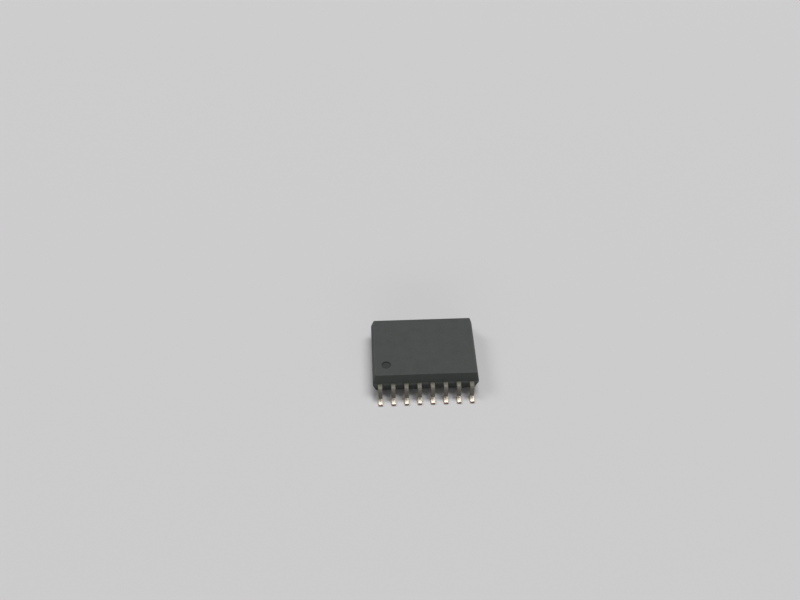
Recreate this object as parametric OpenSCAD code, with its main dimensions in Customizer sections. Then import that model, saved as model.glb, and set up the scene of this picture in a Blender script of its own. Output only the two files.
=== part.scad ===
// A 16-lead wide small-outline digital isolator: two chips on separate paddles, wired to each other
// across an insulating gap and moulded into an epoxy body with bent leads along both long sides.
// X runs along the rows of leads, Y across them and Z up from the board. The origin is on the board,
// under the middle of the body. Side 1 is at -Y and side 2 at +Y, and lead 1 is at -X and -Y.

/* [Moulded body] */
// Length along the rows of leads, at the parting line
body_length = 10.3; // [9.6:0.05:12]
// Width across the rows of leads, at the parting line
body_width = 7.5; // [7:0.05:7.8]
// Thickness from the underside to the top face
body_thickness = 2.35; // [2:0.05:2.8]
// Gap between the underside and the board
standoff = 0.2; // [0.1:0.05:0.4]
// Lean of the walls from upright, which lets the body leave its mould
draft_angle = 14; // [5:1:15]
// Rounding of the edges round the top face and the underside
edge_radius = 0.08; // [0.02:0.01:0.2]
// Reach of the upright band at the parting line, above and below the leads
band_margin = 0.03; // [0.01:0.01:0.1]

/* [Pin 1 mark] */
// Diameter of the round recess in the top face
mark_diameter = 0.85; // [0.5:0.05:1.2]
// Depth of the recess
mark_depth = 0.08; // [0.02:0.01:0.2]
// Distance from the end of the body to the middle of the recess
mark_from_end = 1.35; // [1:0.05:2]
// Distance from the side of the body to the middle of the recess
mark_from_side = 1.47; // [1:0.05:2]

/* [Leads] */
// Distance from each lead to the next
lead_pitch = 1.27; // [1.1:0.01:1.3]
// Distance over the toes of the two rows
lead_span = 10.55; // [10.2:0.05:11]
// Width of a lead outside the body
lead_width = 0.41; // [0.3:0.01:0.5]
// Thickness of the copper strip
lead_thickness = 0.25; // [0.15:0.01:0.3]
// Length of the flat under a foot
foot_length = 0.6; // [0.4:0.05:0.7]
// Inner radius of the two bends
bend_radius = 0.1; // [0.07:0.01:0.2]
// Lean of a lead's riser from upright
riser_angle = 4; // [0:1:12]
// Stub that the cut of the dam bar leaves on each edge of a lead
dam_stub = 0.03; // [0.01:0.01:0.06]
// Length of that stub along the lead
dam_length = 0.15; // [0.05:0.01:0.2]
// Distance from the body's side to the stub
dam_from_body = 0.08; // [0.02:0.01:0.15]

/* [Metal inside the body] */
// Reach of a lead's finger into the body
finger_reach = 1; // [0.8:0.05:1.2]
// Width of a finger's head, which locks the lead into the body
finger_head_width = 0.72; // [0.6:0.02:0.9]
// Length of a finger's head
finger_head_length = 0.5; // [0.3:0.05:0.6]
// Gap between the fingers and the paddle
finger_gap = 0.35; // [0.2:0.05:0.5]
// Insulating gap between the two paddles
isolation_gap = 0.8; // [0.4:0.05:1]
// Length of a paddle along the row of leads
paddle_length = 5; // [4:0.1:7]
// Width of the arms that join a paddle to its two ground leads
arm_width = 0.6; // [0.4:0.05:1]

/* [Chips] */
// Length of a chip along the row of leads
chip_length = 3.2; // [2.4:0.1:3.8]
// Width of a chip across the row of leads
chip_width = 1.5; // [1:0.05:1.6]
// Thickness of a chip
chip_thickness = 0.25; // [0.15:0.01:0.35]
// Thickness of the glue under a chip
glue_thickness = 0.03; // [0.01:0.01:0.05]
// Reach of the glue past a chip's edges
glue_margin = 0.1; // [0.05:0.01:0.15]

/* [Bond wires] */
// Diameter of a wire
wire_diameter = 0.03; // [0.02:0.005:0.05]
// Diameter of the ball at the start of a wire
ball_diameter = 0.08; // [0.06:0.005:0.1]
// Height of that ball
ball_height = 0.02; // [0.01:0.005:0.03]
// Rise of a wire's arch above its ends
loop_height = 0.25; // [0.15:0.01:0.35]
// Distance from a chip's edge to its row of bonds
pad_inset = 0.12; // [0.06:0.01:0.2]
// Distance from a finger's tip to its bond
bond_inset = 0.2; // [0.1:0.01:0.3]
// Distance between the two wires of a channel
pair_spacing = 0.2; // [0.12:0.01:0.4]

/* [Hidden] */
leads_per_side = 8;
ground_positions = [2, 8];
channels = 4;
sides = [1, 2];
wire_sides = 6;
wire_steps = 10;
arc_steps = 8;
// How far a cut runs past the face that it opens
cut_past = 1;

positions = [1:leads_per_side];
single_positions = [for (p = positions) if (len(search(p, ground_positions)) == 0) p];
gap_wires = [1:2 * channels];

// Heights
body_top = standoff + body_thickness;
frame_middle = standoff + body_thickness / 2;
frame_bottom = frame_middle - lead_thickness / 2;
frame_top = frame_middle + lead_thickness / 2;
band_bottom = frame_bottom - band_margin;
band_top = frame_top + band_margin;
glue_top = frame_top + glue_thickness;
chip_top = glue_top + chip_thickness;

// The bent lead seen from its edge, as distances out from the middle of the part and heights
outer_radius = bend_radius + lead_thickness;
toe = lead_span / 2;
heel = [toe - foot_length, lead_thickness + bend_radius];
knee_height = frame_bottom - bend_radius;
bend_sum = bend_radius + outer_radius;
riser = (knee_height - heel.y + bend_sum * sin(riser_angle)) / cos(riser_angle);
knee = [heel.x - bend_sum * cos(riser_angle) - riser * sin(riser_angle), knee_height];

// Places across the part, as distances out from its middle
body_side = body_width / 2;
finger_tip = body_side - finger_reach;
bond_row = finger_tip + bond_inset;
paddle_inner = isolation_gap / 2;
paddle_outer = finger_tip - finger_gap;
paddle_middle = (paddle_inner + paddle_outer) / 2;
arm_inner = paddle_middle - arm_width / 2;
chip_inner = paddle_middle - chip_width / 2;
outer_pads = paddle_middle + chip_width / 2 - pad_inset;
inner_pads = chip_inner + pad_inset;

// Places along the part
pad_row = chip_length - 2 * pad_inset;
pad_pitch = pad_row / (leads_per_side - 1);
channel_pitch = (pad_row - pair_spacing) / (channels - 1);

function row_place(index, count, pitch) = (index - (count + 1) / 2) * pitch;
function lead_x(position) = row_place(position, leads_per_side, lead_pitch);
function pad_x(position) = row_place(position, leads_per_side, pad_pitch);
function gap_wire_x(k) =
    row_place(ceil(k / 2), channels, channel_pitch) + (k % 2 == 0 ? 1 : -1) * pair_spacing / 2;

// Leads are numbered along side 1 and back along side 2
function lead_number(side, position) =
    side == 1 ? position : 2 * leads_per_side + 1 - position;
function numbered(prefix, side, position) =
    let (number = lead_number(side, position))
    str(prefix, number < 10 ? "0" : "", number);

function polar(radius, angle) = radius * [cos(angle), sin(angle)];
function arc(centre, radius, from, to) =
    [for (i = [0:arc_steps]) centre + polar(radius, from + (to - from) * i / arc_steps)];

// Half of the distance between the centres of the roundings along a wall's edge at this height
function edge_centre(width, from_band) =
    width / 2 - (edge_radius + (from_band - edge_radius) * sin(draft_angle)) / cos(draft_angle);

// Section of the body across a pair of its walls, from the underside up one wall and down the other
function body_section(width) =
    let (
        low = [edge_centre(width, band_bottom - standoff), standoff + edge_radius],
        high = [edge_centre(width, body_top - band_top), body_top - edge_radius],
        wall = concat(
            arc(low, edge_radius, -90, -draft_angle),
            [[width / 2, band_bottom], [width / 2, band_top]],
            arc(high, edge_radius, draft_angle, 90)
        )
    )
    concat(wall, [for (i = [len(wall) - 1:-1:0]) [-wall[i].x, wall[i].y]]);

// Edge of a lead from its inner end over the knee and the heel to the toe, and back underneath
function lead_profile(inner_end) =
    concat(
        [[inner_end, frame_top]],
        arc(knee, outer_radius, 90, riser_angle),
        arc(heel, bend_radius, 180 + riser_angle, 270),
        [[toe, lead_thickness], [toe, 0]],
        arc(heel, outer_radius, 270, 180 + riser_angle),
        arc(knee, bend_radius, riser_angle, 90),
        [[inner_end, frame_bottom]]
    );

// Draws what is described for side 2 on either side
module on_side(side) {
    if (side == 1) {
        mirror([0, 1, 0]) children();
    } else {
        children();
    }
}

module body_block() {
    intersection() {
        rotate([90, 0, 90])
            linear_extrude(height = body_length + 2 * cut_past, center = true)
                polygon(body_section(body_width));
        rotate([90, 0, 0])
            linear_extrude(height = body_width + 2 * cut_past, center = true)
                polygon(body_section(body_length));
    }
}

module pin_1_recess() {
    translate([mark_from_end - body_length / 2, mark_from_side - body_side, body_top - mark_depth])
        cylinder(d = mark_diameter, h = mark_depth + cut_past, $fn = 64);
}

// A flat length of the copper strip, centred along X
module strip_plate(width, from, to) {
    translate([-width / 2, from, frame_bottom])
        cube([width, to - from, lead_thickness]);
}

// A bent lead from its toe in to inner_end, with the stubs of the dam bar
module bent_lead(position, inner_end) {
    stub_from = body_side + dam_from_body;
    translate([lead_x(position), 0, 0]) {
        rotate([90, 0, 90])
            linear_extrude(height = lead_width, center = true)
                polygon(lead_profile(inner_end));
        strip_plate(lead_width + 2 * dam_stub, stub_from, stub_from + dam_length);
    }
}

module lead(side, position) {
    color("#b9b2a3")
        on_side(side) {
            bent_lead(position, finger_tip);
            translate([lead_x(position), 0, 0])
                strip_plate(finger_head_width, finger_tip, finger_tip + finger_head_length);
        }
}

// An arm from the middle of a paddle out to a ground lead
module paddle_arm(position) {
    reach = abs(lead_x(position)) + lead_width / 2;
    translate([lead_x(position) < 0 ? -reach : 0, arm_inner, frame_bottom])
        cube([reach, arm_width, lead_thickness]);
}

module paddle(side) {
    color("#b9b2a3")
        on_side(side) {
            strip_plate(paddle_length, paddle_inner, paddle_outer);
            for (p = ground_positions) {
                paddle_arm(p);
                bent_lead(p, arm_inner);
            }
        }
}

module chip_glue(side) {
    color("#a9a9a4")
        on_side(side)
            translate([-chip_length / 2 - glue_margin, chip_inner - glue_margin, frame_top])
                cube([
                    chip_length + 2 * glue_margin,
                    chip_width + 2 * glue_margin,
                    glue_thickness
                ]);
}

module chip(side) {
    color("#5d6672")
        on_side(side)
            translate([-chip_length / 2, chip_inner, glue_top])
                cube([chip_length, chip_width, chip_thickness]);
}

// The rings of a bond wire: a ball, then half an ellipse that leaves and lands upright.
// Each ring is its centre, its radius and the angle at which the wire climbs there.
function wire_rings(from, to) =
    let (
        start = from + [0, 0, ball_height],
        span = to - start,
        reach = norm([span.x, span.y])
    )
    concat(
        [[from, ball_diameter / 2, 90], [start, ball_diameter / 2, 90]],
        [
            for (i = [0:wire_steps])
                let (a = 180 * i / wire_steps)
                [
                    start + span * (1 - cos(a)) / 2 + [0, 0, loop_height * sin(a)],
                    wire_diameter / 2,
                    atan2(span.z * sin(a) / 2 + loop_height * cos(a), reach * sin(a) / 2)
                ]
        ]
    );

function ring_points(ring, heading) =
    let (
        climb = ring[2],
        across = [-sin(heading), cos(heading), 0],
        up = [-sin(climb) * cos(heading), -sin(climb) * sin(heading), cos(climb)]
    )
    [
        for (j = [0:wire_sides - 1])
            let (a = 360 * j / wire_sides)
            ring[0] + ring[1] * (cos(a) * across + sin(a) * up)
    ];

module bond_wire(from, to) {
    rings = wire_rings(from, to);
    heading = atan2(to.y - from.y, to.x - from.x);
    last = len(rings) - 1;
    polyhedron(
        points = [for (ring = rings) each ring_points(ring, heading)],
        faces = concat(
            [[for (j = [0:wire_sides - 1]) j]],
            [
                for (i = [0:last - 1], j = [0:wire_sides - 1])
                    let (
                        near = i * wire_sides,
                        far = near + wire_sides,
                        next = (j + 1) % wire_sides
                    )
                    each [[near + j, far + j, far + next], [near + j, far + next, near + next]]
            ],
            [[for (j = [wire_sides - 1:-1:0]) last * wire_sides + j]]
        )
    );
}

module lead_wire(side, position) {
    color("gold")
        on_side(side)
            bond_wire(
                [pad_x(position), outer_pads, chip_top],
                [lead_x(position), bond_row, frame_top]
            );
}

module gap_wire(k) {
    color("gold")
        bond_wire([gap_wire_x(k), -inner_pads, chip_top], [gap_wire_x(k), inner_pads, chip_top]);
}

module mould_body() {
    color("#4b4e4c")
        difference() {
            body_block();
            pin_1_recess();
            for (side = sides) {
                paddle(side);
                chip_glue(side);
                chip(side);
                for (p = single_positions) {
                    lead(side, p);
                }
                for (p = positions) {
                    lead_wire(side, p);
                }
            }
            for (k = gap_wires) {
                gap_wire(k);
            }
        }
}

mould_body();
for (side = sides) {
    paddle(side);
    chip_glue(side);
    chip(side);
    for (p = single_positions) {
        lead(side, p);
    }
    for (p = positions) {
        lead_wire(side, p);
    }
}
for (k = gap_wires) {
    gap_wire(k);
}
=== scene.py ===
"""Looks of a 16-lead wide small-outline digital isolator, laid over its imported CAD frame.

The moulded body and the formed leads are drawn again here with the fine rounding that their tools
leave on them. The chips, their glue and the bond wires inside the body stay the frame's own solids.
Sizes are in millimetres, and meshes are made in metres. X runs along the rows of leads, Y across
them and Z up from the board. Side 1 is at -Y, and lead 1 is at -X and -Y.
"""

import math

import bmesh
import bpy
from mathutils import Matrix, Vector


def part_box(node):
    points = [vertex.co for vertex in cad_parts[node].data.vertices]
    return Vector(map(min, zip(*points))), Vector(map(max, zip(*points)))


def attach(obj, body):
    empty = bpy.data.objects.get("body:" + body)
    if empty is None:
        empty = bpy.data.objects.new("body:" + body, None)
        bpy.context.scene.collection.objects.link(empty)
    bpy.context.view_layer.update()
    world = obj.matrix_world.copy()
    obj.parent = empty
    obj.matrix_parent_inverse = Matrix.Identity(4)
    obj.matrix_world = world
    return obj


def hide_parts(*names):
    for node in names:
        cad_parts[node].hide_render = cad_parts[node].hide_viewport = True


MM = 0.001

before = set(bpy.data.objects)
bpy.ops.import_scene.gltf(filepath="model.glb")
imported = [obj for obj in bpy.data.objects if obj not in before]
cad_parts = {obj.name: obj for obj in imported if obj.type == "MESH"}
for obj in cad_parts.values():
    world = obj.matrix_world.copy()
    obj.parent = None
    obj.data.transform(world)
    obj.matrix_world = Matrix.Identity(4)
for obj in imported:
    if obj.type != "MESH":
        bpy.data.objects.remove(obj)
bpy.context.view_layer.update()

# Sizes that the frame's solids give
body_low, body_high = [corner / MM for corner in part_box("mould_body")]
lead_low, lead_high = [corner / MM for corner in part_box("lead_01")]
paddle_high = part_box("paddle_side_1")[1] / MM
HALF_LENGTH = body_high.x
HALF_WIDTH = body_high.y
UNDERSIDE = body_low.z
TOP_FACE = body_high.z
TOE = -lead_low.y
FINGER_TIP = -lead_high.y
FINGER_HEAD_WIDTH = lead_high.x - lead_low.x
STRIP_TOP = lead_high.z
PADDLE_INNER = -paddle_high.y
LEAD_1_X = (lead_low.x + lead_high.x) / 2

# The lead frame's strip, as stamped and formed
LEADS_PER_SIDE = 8
GROUND_POSITIONS = (2, 8)
LEAD_PITCH = -2 * LEAD_1_X / (LEADS_PER_SIDE - 1)
STRIP_THICKNESS = 0.25
STRIP_MIDDLE = STRIP_TOP - STRIP_THICKNESS / 2
LEAD_WIDTH = 0.41
FOOT_LENGTH = 0.6
HEEL = TOE - FOOT_LENGTH
BEND_RADIUS = 0.1
BEND_STEPS = 12
RISER_LEAN = math.radians(4)
STAMPED_EDGE_RADIUS = 0.035
STAMPED_EDGE_STEPS = 4
FINGER_HEAD_LENGTH = 0.5
DAM_STUB = 0.03
DAM_LENGTH = 0.15
DAM_FROM_BODY = 0.08
PADDLE_LENGTH = 5
FINGER_GAP = 0.35
ARM_WIDTH = 0.6
SWEEP_STEP = 0.03
STRIP_CREASE = math.radians(40)

# The strip's finish: its grain and rolling lines, how deep they are, how many times longer than wide
# the lines are, and its patches of tarnish
TIN_GRAIN = 0.03
TIN_RELIEF = 0.002
ROLLING_LINE_STRETCH = 12.5
TARNISH_PATCHES = 0.25

# Where the dull tin, which also carries painted shade, turns to fresh, measured in from the heel, and how
# far that line wanders
DULL_AND_SHADED_UNTIL = 0.14
FRESH_FROM = 0.08
FRESH_LINE_WANDER = 0.14

# How much of a toe's end is its cut face
CUT_DEPTH = 0.002

# The moulded body
DRAFT = math.radians(14)
EDGE_RADIUS = 0.08
CORNER_RADIUS = 0.12
BAND_MARGIN = 0.03
BAND_BOTTOM = STRIP_TOP - STRIP_THICKNESS - BAND_MARGIN
BAND_TOP = STRIP_TOP + BAND_MARGIN
ARC_STEPS = 8
BODY_CREASE = math.radians(12)

# The body's finish: its flow marks, its grain and how deep that is, and the patches that are rubbed
FLOW_MARKS = 1.2
EPOXY_GRAIN = 0.06
EPOXY_RELIEF = 0.008
RUBBED_PATCHES = 0.6
EPOXY_IOR = 1.5

# The pin 1 recess in its top face
MARK_FROM_END = 1.35
MARK_FROM_SIDE = 1.47
MARK_PLACE = Vector((MARK_FROM_END - HALF_LENGTH, MARK_FROM_SIDE - HALF_WIDTH, TOP_FACE))
MARK_RADIUS = 0.425
MARK_DEPTH = 0.08
MARK_LIP = 0.02
MARK_STEPS = 64
PIN_ABOVE_FACE = 1

# The finishes of the pieces inside
CIRCUIT_BLOCKS = 0.25
SILVER_FLAKES = 0.02
DIE_MARKS = 0.01

# Points that lie closer than this are one point
MERGE_DISTANCE = 0.0001

# The camera, fitted to the photograph's 800 x 600 frame
IMAGE_WIDTH = 800
FOCAL_PIXELS = 867.6
SENSOR_WIDTH = 36
CAMERA_PLACE = Vector((-5.05, -54.67, 68.46))
CAMERA_YAW = math.radians(2.801)
CAMERA_PITCH = math.radians(47.225)
CAMERA_ROLL = math.radians(0.297)
NEAREST_DRAWN = 1

# The studio, whose table lies a hair below the feet so that no two faces share a plane
TABLE_HALF_SIZE = 4000
TABLE_DROP = 0.001
ROOM_FILL = 0.12

# Each soft panel's place, width and depth in metres, and its power in watts
SOFT_PANELS = {
    "overhead": ((0.6, 0.95, 3), 2.4, 1, 75),
    "left": ((-2.4, 1, 3), 1.4, 1.4, 33),
    "front": ((0, -3, 0.8), 5, 0.5, 25),
}


def linear(hex_colour):
    """Linear RGBA of an sRGB hex colour."""
    channels = [int(hex_colour[i : i + 2], 16) / 255 for i in (1, 3, 5)]
    return [c / 12.92 if c <= 0.04045 else ((c + 0.055) / 1.055) ** 2.4 for c in channels] + [1]


def per_mm(size):
    """Scale of a texture whose features are this many millimetres across."""
    return 1 / (size * MM)


def add(tree, kind, inputs=None, **settings):
    """Adds a node. Settings go on the node, and inputs are values, or nodes and sockets to link.

    A colour mix takes its share at input 0 and its colours at 6 and 7, and gives the result at output 2.
    """
    node = tree.nodes.new(kind)
    for name, value in settings.items():
        setattr(node, name, value)
    for key, value in (inputs or {}).items():
        if isinstance(value, bpy.types.Node):
            value = value.outputs[0]
        if isinstance(value, bpy.types.NodeSocket):
            tree.links.new(value, node.inputs[key])
        else:
            node.inputs[key].default_value = value
    return node


def start_material(name):
    """A new material, its tree and its shader."""
    material = bpy.data.materials.new(name)
    material.use_nodes = True
    return material, material.node_tree, material.node_tree.nodes["Principled BSDF"]


def moulded_epoxy():
    # Epoxy filled with ground silica and carbon black, from a spark-eroded mould. The dry grain scatters
    # light, so it looks dark grey with no clear highlight. The real grain is about 0.02 mm and is drawn
    # at 0.06 mm to show.
    material, tree, shader = start_material("black moulded epoxy")
    place = add(tree, "ShaderNodeTexCoord").outputs["Object"]
    flow = add(tree, "ShaderNodeTexNoise", {"Vector": place, "Scale": per_mm(FLOW_MARKS), "Detail": 5})
    grain = add(tree, "ShaderNodeTexNoise", {"Vector": place, "Scale": per_mm(EPOXY_GRAIN), "Detail": 3})
    skin = add(
        tree,
        "ShaderNodeMix",
        {0: flow, 6: linear("#343735"), 7: linear("#404441")},
        data_type="RGBA",
    ).outputs[2]

    # Grains of silica show as pale specks
    speck = add(
        tree,
        "ShaderNodeMapRange",
        {"Value": grain, "From Min": 0.55, "From Max": 0.75, "To Max": 0.35},
    )
    speckled = add(
        tree,
        "ShaderNodeMix",
        {0: speck, 6: skin, 7: linear("#696d6a")},
        data_type="RGBA",
    ).outputs[2]

    # Handling rubs the rounded edges, where the surface looks between upwards and outwards
    normal = add(tree, "ShaderNodeNewGeometry").outputs["Normal"]
    facing = add(tree, "ShaderNodeSeparateXYZ", {0: normal})
    tilt = add(tree, "ShaderNodeMath", {0: facing.outputs["Z"], 1: 0.7, 2: 0.25}, operation="COMPARE")
    patches = add(
        tree,
        "ShaderNodeTexNoise",
        {"Vector": place, "Scale": per_mm(RUBBED_PATCHES), "Detail": 3},
    )
    rub = add(tree, "ShaderNodeMath", {0: tilt, 1: patches}, operation="MULTIPLY")
    rubbed = add(
        tree,
        "ShaderNodeMix",
        {0: rub, 6: speckled, 7: linear("#5a5e5b")},
        data_type="RGBA",
    ).outputs[2]

    # Along the parting band the flash was trimmed, which leaves it a little paler
    height = add(tree, "ShaderNodeSeparateXYZ", {0: place}).outputs["Z"]
    band = add(
        tree,
        "ShaderNodeMath",
        {0: height, 1: STRIP_MIDDLE * MM, 2: (BAND_TOP - BAND_BOTTOM) / 2 * MM},
        operation="COMPARE",
    )
    trimmed = add(tree, "ShaderNodeMath", {0: band, 1: patches}, operation="MULTIPLY")
    epoxy = add(
        tree,
        "ShaderNodeMix",
        {0: trimmed, 6: rubbed, 7: linear("#5f6460")},
        data_type="RGBA",
    ).outputs[2]
    tree.links.new(epoxy, shader.inputs["Base Color"])

    sheen = add(tree, "ShaderNodeMapRange", {"Value": grain, "To Min": 0.75, "To Max": 0.95})
    tree.links.new(sheen.outputs[0], shader.inputs["Roughness"])
    bump = add(tree, "ShaderNodeBump", {"Strength": 0.7, "Distance": EPOXY_RELIEF * MM, "Height": grain})
    tree.links.new(bump.outputs[0], shader.inputs["Normal"])
    shader.inputs["IOR"].default_value = EPOXY_IOR
    return material


def recess_epoxy_painted_shade():
    # The same epoxy in the recess, which nothing rubs, so it has no bare grains. Its near-black colour is
    # painted shade of the recess, darker than the face round it.
    material, tree, shader = start_material("black epoxy, recess with painted shade")
    place = add(tree, "ShaderNodeTexCoord").outputs["Object"]
    pits = add(tree, "ShaderNodeTexNoise", {"Vector": place, "Scale": per_mm(EPOXY_GRAIN), "Detail": 3})
    # Near-black colours: painted shade of the recess
    skin = add(
        tree,
        "ShaderNodeMix",
        {0: pits, 6: linear("#050706"), 7: linear("#1b1f1d")},
        data_type="RGBA",
    ).outputs[2]
    tree.links.new(skin, shader.inputs["Base Color"])
    sheen = add(tree, "ShaderNodeMapRange", {"Value": pits, "To Min": 0.72, "To Max": 0.55})
    tree.links.new(sheen.outputs[0], shader.inputs["Roughness"])
    bump = add(tree, "ShaderNodeBump", {"Strength": 0.7, "Distance": EPOXY_RELIEF * MM, "Height": pits})
    tree.links.new(bump.outputs[0], shader.inputs["Normal"])
    shader.inputs["IOR"].default_value = EPOXY_IOR
    shader.inputs["Specular IOR Level"].default_value = 0.36
    return material


def tinned_copper():
    # Copper strip under tin. On the shoulders, the risers and the heel it is a matt dark grey, partly tin
    # dulled to a skin and partly painted shade. The feet still have the warm white satin of fresh tin, up
    # to an uneven line at the heel. The cut toes show brown copper, and inside the body the strip is bare.
    # Rolling lines run along it. They and the tin's grain are under 0.01 mm on the real strip, and are
    # drawn at 0.03 mm to show.
    material, tree, shader = start_material("dulled tin and painted shade on copper strip")
    place = add(tree, "ShaderNodeTexCoord").outputs["Object"]
    blank = add(tree, "ShaderNodeAttribute", attribute_name="blank").outputs["Vector"]
    lines_place = add(
        tree,
        "ShaderNodeMapping",
        {"Vector": blank, "Scale": (1, 1 / ROLLING_LINE_STRETCH, 1)},
    )
    lines = add(
        tree,
        "ShaderNodeTexNoise",
        {"Vector": lines_place, "Scale": per_mm(TIN_GRAIN), "Detail": 2},
    )
    grain = add(tree, "ShaderNodeTexNoise", {"Vector": place, "Scale": per_mm(TIN_GRAIN), "Detail": 2})
    tarnish = add(
        tree,
        "ShaderNodeTexNoise",
        {"Vector": place, "Scale": per_mm(TARNISH_PATCHES), "Detail": 4},
    )
    # The dark grey of the shoulders, risers and heel: partly dulled tin, partly painted shade
    dull = add(
        tree,
        "ShaderNodeMix",
        {0: tarnish, 6: linear("#5f5e56"), 7: linear("#7e7c73")},
        data_type="RGBA",
    ).outputs[2]
    fresh = add(
        tree,
        "ShaderNodeMix",
        {0: tarnish, 6: linear("#aea597"), 7: linear("#d0c7b9")},
        data_type="RGBA",
    ).outputs[2]
    copper = add(
        tree,
        "ShaderNodeMix",
        {0: tarnish, 6: linear("#7a5847"), 7: linear("#a67d67")},
        data_type="RGBA",
    ).outputs[2]

    # Tin is fresh from the heel outwards, and further in it is dull with painted shade. Copper is bare on
    # the cut toes and inside the body
    at = add(tree, "ShaderNodeSeparateXYZ", {0: place})
    reach = add(tree, "ShaderNodeMath", {0: at.outputs["Y"]}, operation="ABSOLUTE")
    uneven = add(
        tree,
        "ShaderNodeMath",
        {0: tarnish, 1: -FRESH_LINE_WANDER * MM, 2: reach},
        operation="MULTIPLY_ADD",
    )
    wetted_unshaded = add(
        tree,
        "ShaderNodeMapRange",
        {"Value": uneven, "From Min": (HEEL - DULL_AND_SHADED_UNTIL) * MM, "From Max": (HEEL - FRESH_FROM) * MM},
    )
    plating_with_painted_shade = add(tree, "ShaderNodeMix", {0: wetted_unshaded, 6: dull, 7: fresh}, data_type="RGBA").outputs[2]
    plated = add(tree, "ShaderNodeMath", {0: reach, 1: HALF_WIDTH * MM}, operation="GREATER_THAN")
    cut = add(tree, "ShaderNodeMath", {0: reach, 1: (TOE - CUT_DEPTH) * MM}, operation="GREATER_THAN")
    bared = add(tree, "ShaderNodeMapRange", {"Value": tarnish, "To Min": 0.4, "To Max": 1})
    smear = add(tree, "ShaderNodeMath", {0: cut, 1: bared}, operation="MULTIPLY")
    cover = add(tree, "ShaderNodeMath", {0: plated, 1: smear}, operation="SUBTRACT")
    strip = add(tree, "ShaderNodeMix", {0: cover, 6: copper, 7: plating_with_painted_shade}, data_type="RGBA").outputs[2]
    tree.links.new(strip, shader.inputs["Base Color"])

    # Fresh tin is satin and dull tin matt, both with rolling lines
    satin = add(tree, "ShaderNodeMapRange", {"Value": lines, "To Min": 0.28, "To Max": 0.48})
    skin = add(tree, "ShaderNodeMapRange", {"Value": wetted_unshaded, "To Min": 0.3, "To Max": 0})
    matt = add(tree, "ShaderNodeMath", {0: satin, 1: skin}, operation="ADD")
    tree.links.new(matt.outputs[0], shader.inputs["Roughness"])
    relief = add(tree, "ShaderNodeMath", {0: grain, 1: lines}, operation="ADD")
    bump = add(tree, "ShaderNodeBump", {"Strength": 0.4, "Distance": TIN_RELIEF * MM, "Height": relief})
    tree.links.new(bump.outputs[0], shader.inputs["Normal"])
    shader.inputs["Metallic"].default_value = 1
    return material


def silicon():
    # A polished silicon chip under its glassy top layer: slate blue, with the blocks of its circuit
    # as faint tiles.
    material, tree, shader = start_material("polished silicon")
    place = add(tree, "ShaderNodeTexCoord").outputs["Object"]
    blocks = add(
        tree,
        "ShaderNodeTexVoronoi",
        {"Vector": place, "Scale": per_mm(CIRCUIT_BLOCKS)},
        distance="CHEBYCHEV",
    )
    circuit = add(
        tree,
        "ShaderNodeMix",
        {0: blocks.outputs["Color"], 6: linear("#4a5262"), 7: linear("#717b8c")},
        data_type="RGBA",
    ).outputs[2]
    tree.links.new(circuit, shader.inputs["Base Color"])
    sheen = add(tree, "ShaderNodeMapRange", {"Value": blocks, "To Min": 0.12, "To Max": 0.25})
    tree.links.new(sheen.outputs[0], shader.inputs["Roughness"])
    shader.inputs["IOR"].default_value = 2
    return material


def silver_glue():
    # Epoxy filled with flakes of silver: a dull pale grey with a glint here and there.
    material, tree, shader = start_material("silver-filled epoxy")
    place = add(tree, "ShaderNodeTexCoord").outputs["Object"]
    flakes = add(
        tree,
        "ShaderNodeTexNoise",
        {"Vector": place, "Scale": per_mm(SILVER_FLAKES), "Detail": 2},
    )
    paste = add(
        tree,
        "ShaderNodeMix",
        {0: flakes, 6: linear("#84837d"), 7: linear("#c4c3bd")},
        data_type="RGBA",
    ).outputs[2]
    tree.links.new(paste, shader.inputs["Base Color"])
    glint = add(tree, "ShaderNodeMapRange", {"Value": flakes, "To Min": 0.7, "To Max": 0.35})
    tree.links.new(glint.outputs[0], shader.inputs["Roughness"])
    shader.inputs["Metallic"].default_value = 0.6
    return material


def gold_wire():
    # Fine gold drawn through a die: a warm yellow mirror, dulled a little by the die's marks.
    material, tree, shader = start_material("drawn gold")
    place = add(tree, "ShaderNodeTexCoord").outputs["Object"]
    marks = add(tree, "ShaderNodeTexNoise", {"Vector": place, "Scale": per_mm(DIE_MARKS), "Detail": 1})
    gold = add(
        tree,
        "ShaderNodeMix",
        {0: marks, 6: linear("#d9a441"), 7: linear("#f0c366")},
        data_type="RGBA",
    ).outputs[2]
    tree.links.new(gold, shader.inputs["Base Color"])
    dull = add(tree, "ShaderNodeMapRange", {"Value": marks, "To Min": 0.15, "To Max": 0.3})
    tree.links.new(dull.outputs[0], shader.inputs["Roughness"])
    shader.inputs["Metallic"].default_value = 1
    return material


def pale_table():
    # Painted board: a plain pale grey, matt enough to show only soft shadows.
    material, _, shader = start_material("pale painted board")
    shader.inputs["Base Color"].default_value = linear("#d2d1d2")
    shader.inputs["Roughness"].default_value = 0.9
    shader.inputs["Specular IOR Level"].default_value = 0.2
    return material


def object_from_shape(name, shape, materials=()):
    """A new object at the origin with this bmesh, which is used up, and these materials."""
    mesh = bpy.data.meshes.new(name)
    shape.to_mesh(mesh)
    shape.free()
    for material in materials:
        mesh.materials.append(material)
    made = bpy.data.objects.new(name, mesh)
    bpy.context.scene.collection.objects.link(made)
    return made


def object_from_drawing(name, shape, materials):
    """A new object from a bmesh drawn in millimetres, with its faces turned outwards."""
    bmesh.ops.scale(shape, vec=(MM, MM, MM), verts=shape.verts)
    bmesh.ops.recalc_face_normals(shape, faces=shape.faces)
    return object_from_shape(name, shape, materials)


def apply_modifiers(made):
    """Turns an object with modifiers into the plain mesh that they give."""
    graph = bpy.context.evaluated_depsgraph_get()
    mesh = bpy.data.meshes.new_from_object(
        made.evaluated_get(graph), preserve_all_data_layers=True, depsgraph=graph
    )
    made.modifiers.clear()
    made.data = mesh


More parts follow.
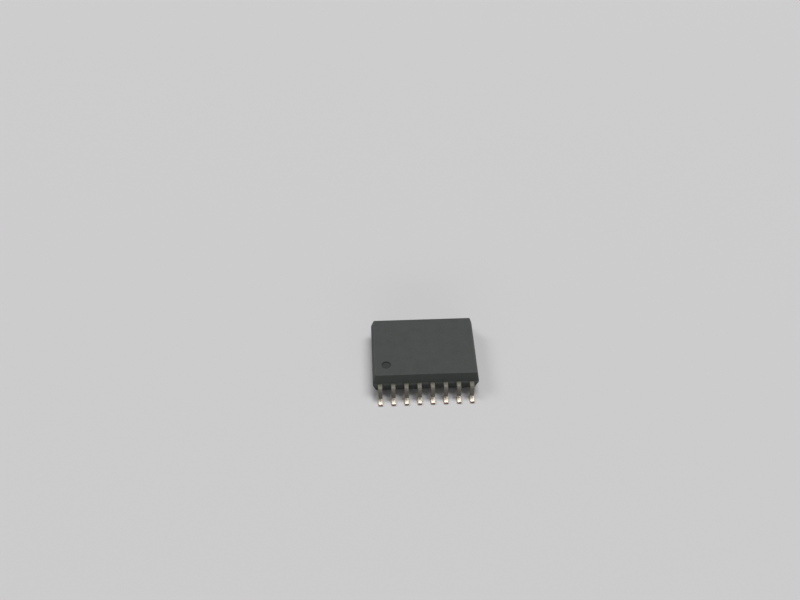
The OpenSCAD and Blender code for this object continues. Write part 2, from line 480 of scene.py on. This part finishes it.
def combine(made, other, operation):
    """Adds another object's solid to this one, or takes it away, and removes the other object."""
    boolean = made.modifiers.new("combine", "BOOLEAN")
    boolean.operation = operation
    boolean.solver = "MANIFOLD"
    boolean.object = other
    apply_modifiers(made)
    bpy.data.objects.remove(other)


def smooth(made, crease):
    """Shades flats flat and roundings round, with hard edges only where faces turn by more than crease."""
    made.data.shade_smooth()
    made.data.set_sharp_from_angle(angle=crease)
    weighted = made.modifiers.new("shading", "WEIGHTED_NORMAL")
    weighted.keep_sharp = True
    apply_modifiers(made)


def lead_x(position):
    """Middle of the lead at this position along its row."""
    return (position - (LEADS_PER_SIDE + 1) / 2) * LEAD_PITCH


def lead_path(side, position, inner_end):
    """Corners of a lead's middle line, from inside the body over the knee and the heel to the toe."""
    out = -1 if side == 1 else 1
    bend = BEND_RADIUS + STRIP_THICKNESS / 2
    heel = Vector((HEEL, STRIP_THICKNESS + BEND_RADIUS))
    lean = Vector((math.cos(RISER_LEAN), math.sin(RISER_LEAN)))
    riser = lean.dot(heel) - bend

    def riser_at(height):
        return (riser - lean.y * height) / lean.x

    foot_middle = STRIP_THICKNESS / 2
    corners = [
        (inner_end, STRIP_MIDDLE),
        (riser_at(STRIP_MIDDLE), STRIP_MIDDLE),
        (riser_at(foot_middle), foot_middle),
        (TOE, foot_middle),
    ]
    return [Vector((lead_x(position), out * reach, height)) * MM for reach, height in corners]


def formed_strip_tree():
    """Geometry nodes that sweep the stamped strip along each line and round its corners into bends."""
    tree = bpy.data.node_groups.new("formed strip", "GeometryNodeTree")
    tree.interface.new_socket("Geometry", in_out="INPUT", socket_type="NodeSocketGeometry")
    for name in (
        "Width",
        "Thickness",
        "Edge Radius",
        "Bend Radius",
        "Step",
        "Head Length",
        "Head Overhang",
        "Stub Start",
        "Stub Length",
        "Stub Overhang",
    ):
        tree.interface.new_socket(name, in_out="INPUT", socket_type="NodeSocketFloat")
    tree.interface.new_socket("Material", in_out="INPUT", socket_type="NodeSocketMaterial")
    tree.interface.new_socket("Geometry", in_out="OUTPUT", socket_type="NodeSocketGeometry")
    given = add(tree, "NodeGroupInput").outputs

    # The middle line, bent at its corners, in short steps that keep their place and their reach along it
    line = add(tree, "GeometryNodeMeshToCurve", {"Mesh": given["Geometry"]})
    bent = add(
        tree,
        "GeometryNodeFilletCurve",
        {"Curve": line, "Count": BEND_STEPS, "Radius": given["Bend Radius"]},
        mode="POLY",
    )
    stepped = add(
        tree,
        "GeometryNodeResampleCurve",
        {"Curve": bent, "Length": given["Step"]},
        mode="LENGTH",
    )
    level = add(tree, "GeometryNodeSetCurveNormal", {"Curve": stepped}, mode="Z_UP")
    along = add(tree, "GeometryNodeSplineParameter").outputs["Length"]
    measured = add(
        tree,
        "GeometryNodeStoreNamedAttribute",
        {"Geometry": level, "Name": "along", "Value": along},
        data_type="FLOAT",
        domain="POINT",
    )
    place = add(tree, "GeometryNodeInputPosition")
    placed = add(
        tree,
        "GeometryNodeStoreNamedAttribute",
        {"Geometry": measured, "Name": "middle", "Value": place},
        data_type="FLOAT_VECTOR",
        domain="POINT",
    )

    # The section of the strip, with edges rounded by the stamping die
    section = add(
        tree,
        "GeometryNodeCurvePrimitiveQuadrilateral",
        {"Width": given["Width"], "Height": given["Thickness"]},
    )
    stamped = add(
        tree,
        "GeometryNodeFilletCurve",
        {"Curve": section, "Count": STAMPED_EDGE_STEPS, "Radius": given["Edge Radius"]},
        mode="POLY",
    )
    drawn = add(
        tree,
        "GeometryNodeStoreNamedAttribute",
        {"Geometry": stamped, "Name": "section", "Value": place},
        data_type="FLOAT_VECTOR",
        domain="POINT",
    )
    swept = add(
        tree,
        "GeometryNodeCurveToMesh",
        {"Curve": placed, "Profile Curve": drawn, "Fill Caps": True},
    )

    # The finger's head and the stubs of the dam bar stand out to both sides
    reached = add(tree, "GeometryNodeInputNamedAttribute", {"Name": "along"}, data_type="FLOAT")
    in_head = add(tree, "ShaderNodeMath", {0: reached, 1: given["Head Length"]}, operation="LESS_THAN")
    head = add(tree, "ShaderNodeMath", {0: in_head, 1: given["Head Overhang"]}, operation="MULTIPLY")
    half_stub = add(tree, "ShaderNodeMath", {0: given["Stub Length"], 1: 2}, operation="DIVIDE")
    stub_middle = add(tree, "ShaderNodeMath", {0: given["Stub Start"], 1: half_stub}, operation="ADD")
    in_stub = add(tree, "ShaderNodeMath", {0: reached, 1: stub_middle, 2: half_stub}, operation="COMPARE")
    overhang = add(
        tree,
        "ShaderNodeMath",
        {0: in_stub, 1: given["Stub Overhang"], 2: head},
        operation="MULTIPLY_ADD",
    )
    middle = add(tree, "GeometryNodeInputNamedAttribute", {"Name": "middle"}, data_type="FLOAT_VECTOR")
    from_middle = add(tree, "ShaderNodeVectorMath", {0: place, 1: middle}, operation="SUBTRACT")
    from_middle_x = add(tree, "ShaderNodeSeparateXYZ", {0: from_middle})
    hand = add(tree, "ShaderNodeMath", {0: from_middle_x}, operation="SIGN")
    outwards = add(tree, "ShaderNodeMath", {0: hand, 1: overhang}, operation="MULTIPLY")
    widened = add(
        tree,
        "GeometryNodeSetPosition",
        {"Geometry": swept, "Offset": add(tree, "ShaderNodeCombineXYZ", {"X": outwards})},
    )

    # Where each point was on the flat blank, for the rolling lines
    kept_section = add(
        tree,
        "GeometryNodeInputNamedAttribute",
        {"Name": "section"},
        data_type="FLOAT_VECTOR",
    )
    across = add(tree, "ShaderNodeSeparateXYZ", {0: kept_section})
    flat_place = add(
        tree,
        "ShaderNodeCombineXYZ",
        {"X": across.outputs["X"], "Y": reached, "Z": across.outputs["Y"]},
    )
    marked = add(
        tree,
        "GeometryNodeStoreNamedAttribute",
        {"Geometry": widened, "Name": "blank", "Value": flat_place},
        data_type="FLOAT_VECTOR",
        domain="POINT",
    )
    real = add(tree, "GeometryNodeRealizeInstances", {"Geometry": marked})
    finished = add(tree, "GeometryNodeSetMaterial", {"Geometry": real, "Material": given["Material"]})
    add(tree, "NodeGroupOutput", {"Geometry": finished})
    return tree


def formed_leads(name, tree, side, positions, inner_end, head_overhang, material):
    """The formed strip of the leads at these positions, as one object."""
    paths = bmesh.new()
    for position in positions:
        corners = [paths.verts.new(point) for point in lead_path(side, position, inner_end)]
        for start, end in zip(corners, corners[1:]):
            paths.edges.new((start, end))
    made = object_from_shape(name, paths)
    sweep = made.modifiers.new("sweep", "NODES")
    sweep.node_group = tree
    sizes = {
        "Width": LEAD_WIDTH,
        "Thickness": STRIP_THICKNESS,
        "Edge Radius": STAMPED_EDGE_RADIUS,
        "Bend Radius": BEND_RADIUS + STRIP_THICKNESS / 2,
        "Step": SWEEP_STEP,
        "Head Length": FINGER_HEAD_LENGTH,
        "Head Overhang": head_overhang,
        "Stub Start": HALF_WIDTH + DAM_FROM_BODY - inner_end,
        "Stub Length": DAM_LENGTH,
        "Stub Overhang": DAM_STUB,
    }
    sockets = {item.name: item.identifier for item in tree.interface.items_tree if item.in_out == "INPUT"}
    for size, value in sizes.items():
        sweep[sockets[size]] = value * MM
    sweep[sockets["Material"]] = material
    apply_modifiers(made)
    return made


def lead(side, position, tree, material):
    """A single lead, with the head that locks its finger into the body."""
    number = position if side == 1 else 2 * LEADS_PER_SIDE + 1 - position
    overhang = (FINGER_HEAD_WIDTH - LEAD_WIDTH) / 2
    made = formed_leads(f"formed_lead_{number:02}", tree, side, [position], FINGER_TIP, overhang, material)
    smooth(made, STRIP_CREASE)
    return made, f"lead_{number:02}"


def flat_plate(x_from, x_to, y_from, y_to, material):
    """A flat rectangle of the strip inside the body."""
    size = Vector((x_to - x_from, abs(y_to - y_from), STRIP_THICKNESS))
    middle = Vector(((x_from + x_to) / 2, (y_from + y_to) / 2, STRIP_MIDDLE))
    shape = bmesh.new()
    bmesh.ops.create_cube(shape, size=1, matrix=Matrix.LocRotScale(middle, None, size))
    return object_from_drawing("plate", shape, [material])


def paddle(side, tree, material):
    """A die paddle in one piece with its arms and its two ground leads."""
    out = -1 if side == 1 else 1
    outer = FINGER_TIP - FINGER_GAP
    arm_from = (PADDLE_INNER + outer - ARM_WIDTH) / 2
    name = f"formed_paddle_side_{side}"
    made = formed_leads(name, tree, side, GROUND_POSITIONS, arm_from, 0, material)
    plates = [(-PADDLE_LENGTH / 2, PADDLE_LENGTH / 2, PADDLE_INNER, outer)]
    for position in GROUND_POSITIONS:
        reach = lead_x(position) + math.copysign(LEAD_WIDTH / 2, lead_x(position))
        plates.append((min(0, reach), max(0, reach), arm_from, arm_from + ARM_WIDTH))
    for x_from, x_to, y_from, y_to in plates:
        plate = flat_plate(x_from, x_to, out * y_from, out * y_to, material)
        combine(made, plate, "UNION")
    smooth(made, STRIP_CREASE)
    return made, f"paddle_side_{side}"


def body_ring(shape, inset, height):
    """A level outline of the body with rounded corners, set in from the parting band."""
    ring = []
    for corner in range(4):
        right = corner in (0, 3)
        far = corner in (0, 1)
        x = (HALF_LENGTH - inset - CORNER_RADIUS) * (1 if right else -1)
        y = (HALF_WIDTH - inset - CORNER_RADIUS) * (1 if far else -1)
        for step in range(ARC_STEPS + 1):
            angle = math.pi / 2 * (corner + step / ARC_STEPS)
            place = (x + CORNER_RADIUS * math.cos(angle), y + CORNER_RADIUS * math.sin(angle), height)
            ring.append(shape.verts.new(place))
    return ring


def edge_levels(rise):
    """Inset and rise above the band at each step round the edge of a face that lies this far from it."""
    middle = (EDGE_RADIUS + (rise - EDGE_RADIUS) * math.sin(DRAFT)) / math.cos(DRAFT)
    for step in range(ARC_STEPS + 1):
        angle = DRAFT + (math.pi / 2 - DRAFT) * step / ARC_STEPS
        yield middle - EDGE_RADIUS * math.cos(angle), rise - EDGE_RADIUS * (1 - math.sin(angle))


def body_block(materials):
    """The drafted block of the body, from the underside over the parting band to the top face."""
    levels = [(inset, BAND_BOTTOM - drop) for inset, drop in edge_levels(BAND_BOTTOM - UNDERSIDE)][::-1]
    levels += [(0, BAND_BOTTOM), (0, BAND_TOP)]
    levels += [(inset, BAND_TOP + rise) for inset, rise in edge_levels(TOP_FACE - BAND_TOP)]
    shape = bmesh.new()
    rings = [body_ring(shape, inset, height) for inset, height in levels]
    for lower, upper in zip(rings, rings[1:]):
        for i in range(len(lower)):
            j = (i + 1) % len(lower)
            shape.faces.new((lower[i], lower[j], upper[j], upper[i]))
    shape.faces.new(rings[0][::-1])
    shape.faces.new(rings[-1])
    return object_from_drawing("moulded_body", shape, materials)


def recess_cutter(materials):
    """The round pin that forms the recess, flared where it leaves the top face to round the lip."""
    outline = [Vector((0, 0, -MARK_DEPTH)), Vector((MARK_RADIUS, 0, -MARK_DEPTH))]
    for step in range(ARC_STEPS + 1):
        angle = math.pi / 2 * step / ARC_STEPS
        reach = MARK_RADIUS + MARK_LIP * (1 - math.cos(angle))
        outline.append(Vector((reach, 0, MARK_LIP * (math.sin(angle) - 1))))
    outline.append(Vector((MARK_RADIUS + MARK_LIP, 0, PIN_ABOVE_FACE)))
    outline.append(Vector((0, 0, PIN_ABOVE_FACE)))
    shape = bmesh.new()
    corners = [shape.verts.new(point + MARK_PLACE) for point in outline]
    edges = [shape.edges.new(pair) for pair in zip(corners, corners[1:])]
    bmesh.ops.spin(
        shape,
        geom=corners + edges,
        cent=MARK_PLACE,
        axis=(0, 0, 1),
        angle=2 * math.pi,
        steps=MARK_STEPS,
        use_merge=True,
    )
    bmesh.ops.remove_doubles(shape, verts=shape.verts, dist=MERGE_DISTANCE)
    for face in shape.faces:
        face.material_index = 1
    return object_from_drawing("recess_cutter", shape, materials)


def joined_copy(name, pieces, materials):
    """One object with the shapes of all these pieces, their loose triangles joined up."""
    shape = bmesh.new()
    for piece in pieces:
        part = bmesh.new()
        part.from_mesh(piece.data)
        bmesh.ops.remove_doubles(part, verts=part.verts, dist=MERGE_DISTANCE * MM)
        for face in part.faces:
            face.material_index = 0
        copy = bpy.data.meshes.new("copy")
        part.to_mesh(copy)
        part.free()
        shape.from_mesh(copy)
        bpy.data.meshes.remove(copy)
    return object_from_shape(name, shape, materials)


def moulded_body(inner_pieces, materials):
    """The body, moulded round everything inside it, with the pin 1 recess."""
    made = body_block(materials)
    combine(made, recess_cutter(materials), "DIFFERENCE")
    combine(made, joined_copy("inside", inner_pieces, materials), "DIFFERENCE")
    smooth(made, BODY_CREASE)
    return made


def soft_panel(name, place, width, depth, power):
    """A soft light that looks at the object, and that the camera doesn't see. Its sizes are in metres."""
    light = bpy.data.lights.new(name, "AREA")
    light.shape = "RECTANGLE"
    light.size = width
    light.size_y = depth
    light.energy = power
    made = bpy.data.objects.new(name, light)
    made.visible_camera = False
    made.location = place
    made.rotation_euler = (-Vector(place)).to_track_quat("-Z", "Y").to_euler()
    bpy.context.scene.collection.objects.link(made)


def studio():
    """A pale table in a pale room, with soft lights above, at the left and low in front."""
    shape = bmesh.new()
    bmesh.ops.create_grid(shape, x_segments=1, y_segments=1, size=TABLE_HALF_SIZE)
    table = object_from_drawing("table", shape, [pale_table()])
    table.location.z = -TABLE_DROP * MM
    for name, (place, width, depth, power) in SOFT_PANELS.items():
        soft_panel(name, place, width, depth, power)

    # The room's walls fill the shadows a little, and show at full strength behind the object and in metal
    world = bpy.data.worlds.new("pale room")
    world.use_nodes = True
    tree = world.node_tree
    fill = tree.nodes["Background"]
    fill.inputs["Color"].default_value = linear("#f4f4f4")
    fill.inputs["Strength"].default_value = ROOM_FILL
    walls = add(tree, "ShaderNodeBackground", {"Color": linear("#cfcfcf")})
    ray = add(tree, "ShaderNodeLightPath").outputs
    mirrored = add(
        tree,
        "ShaderNodeMath",
        {0: ray["Is Glossy Ray"], 1: ray["Is Transmission Ray"]},
        operation="ADD",
    )
    seen = add(tree, "ShaderNodeMath", {0: ray["Is Camera Ray"], 1: mirrored}, operation="MAXIMUM")
    room = add(tree, "ShaderNodeMixShader", {0: seen, 1: fill, 2: walls})
    tree.links.new(room.outputs[0], tree.nodes["World Output"].inputs["Surface"])
    bpy.context.scene.world = world


def camera():
    """The photograph's view."""
    lens = bpy.data.cameras.new("camera")
    lens.sensor_width = SENSOR_WIDTH
    lens.lens = FOCAL_PIXELS * SENSOR_WIDTH / IMAGE_WIDTH
    lens.clip_start = NEAREST_DRAWN * MM
    made = bpy.data.objects.new("camera", lens)
    made.matrix_world = (
        Matrix.Translation(CAMERA_PLACE * MM)
        @ Matrix.Rotation(-CAMERA_YAW, 4, "Z")
        @ Matrix.Rotation(math.pi / 2 - CAMERA_PITCH, 4, "X")
        @ Matrix.Rotation(CAMERA_ROLL, 4, "Z")
    )
    bpy.context.scene.collection.objects.link(made)
    bpy.context.scene.camera = made


def keep(piece, node):
    """Shows this piece in place of a CAD node, on the part's one body."""
    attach(piece, "root")
    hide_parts(node)


bpy.context.scene.view_settings.view_transform = "Standard"

tinned = tinned_copper()
strip_tree = formed_strip_tree()
metal = []
for side in (1, 2):
    metal.append(paddle(side, strip_tree, tinned))
    for position in range(1, LEADS_PER_SIDE + 1):
        if position not in GROUND_POSITIONS:
            metal.append(lead(side, position, strip_tree, tinned))
for piece, node in metal:
    keep(piece, node)

gold = gold_wire()
inner_finishes = {
    "chip_glue": silver_glue(),
    "chip_side": silicon(),
    "lead_wire": gold,
    "gap_wire": gold,
}
inner_nodes = []
for name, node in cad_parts.items():
    for start, finish in inner_finishes.items():
        if name.startswith(start):
            node.data.materials.clear()
            node.data.materials.append(finish)
            inner_nodes.append(node)

body = moulded_body([piece for piece, node in metal] + inner_nodes, [moulded_epoxy(), recess_epoxy_painted_shade()])
keep(body, "mould_body")

studio()
camera()
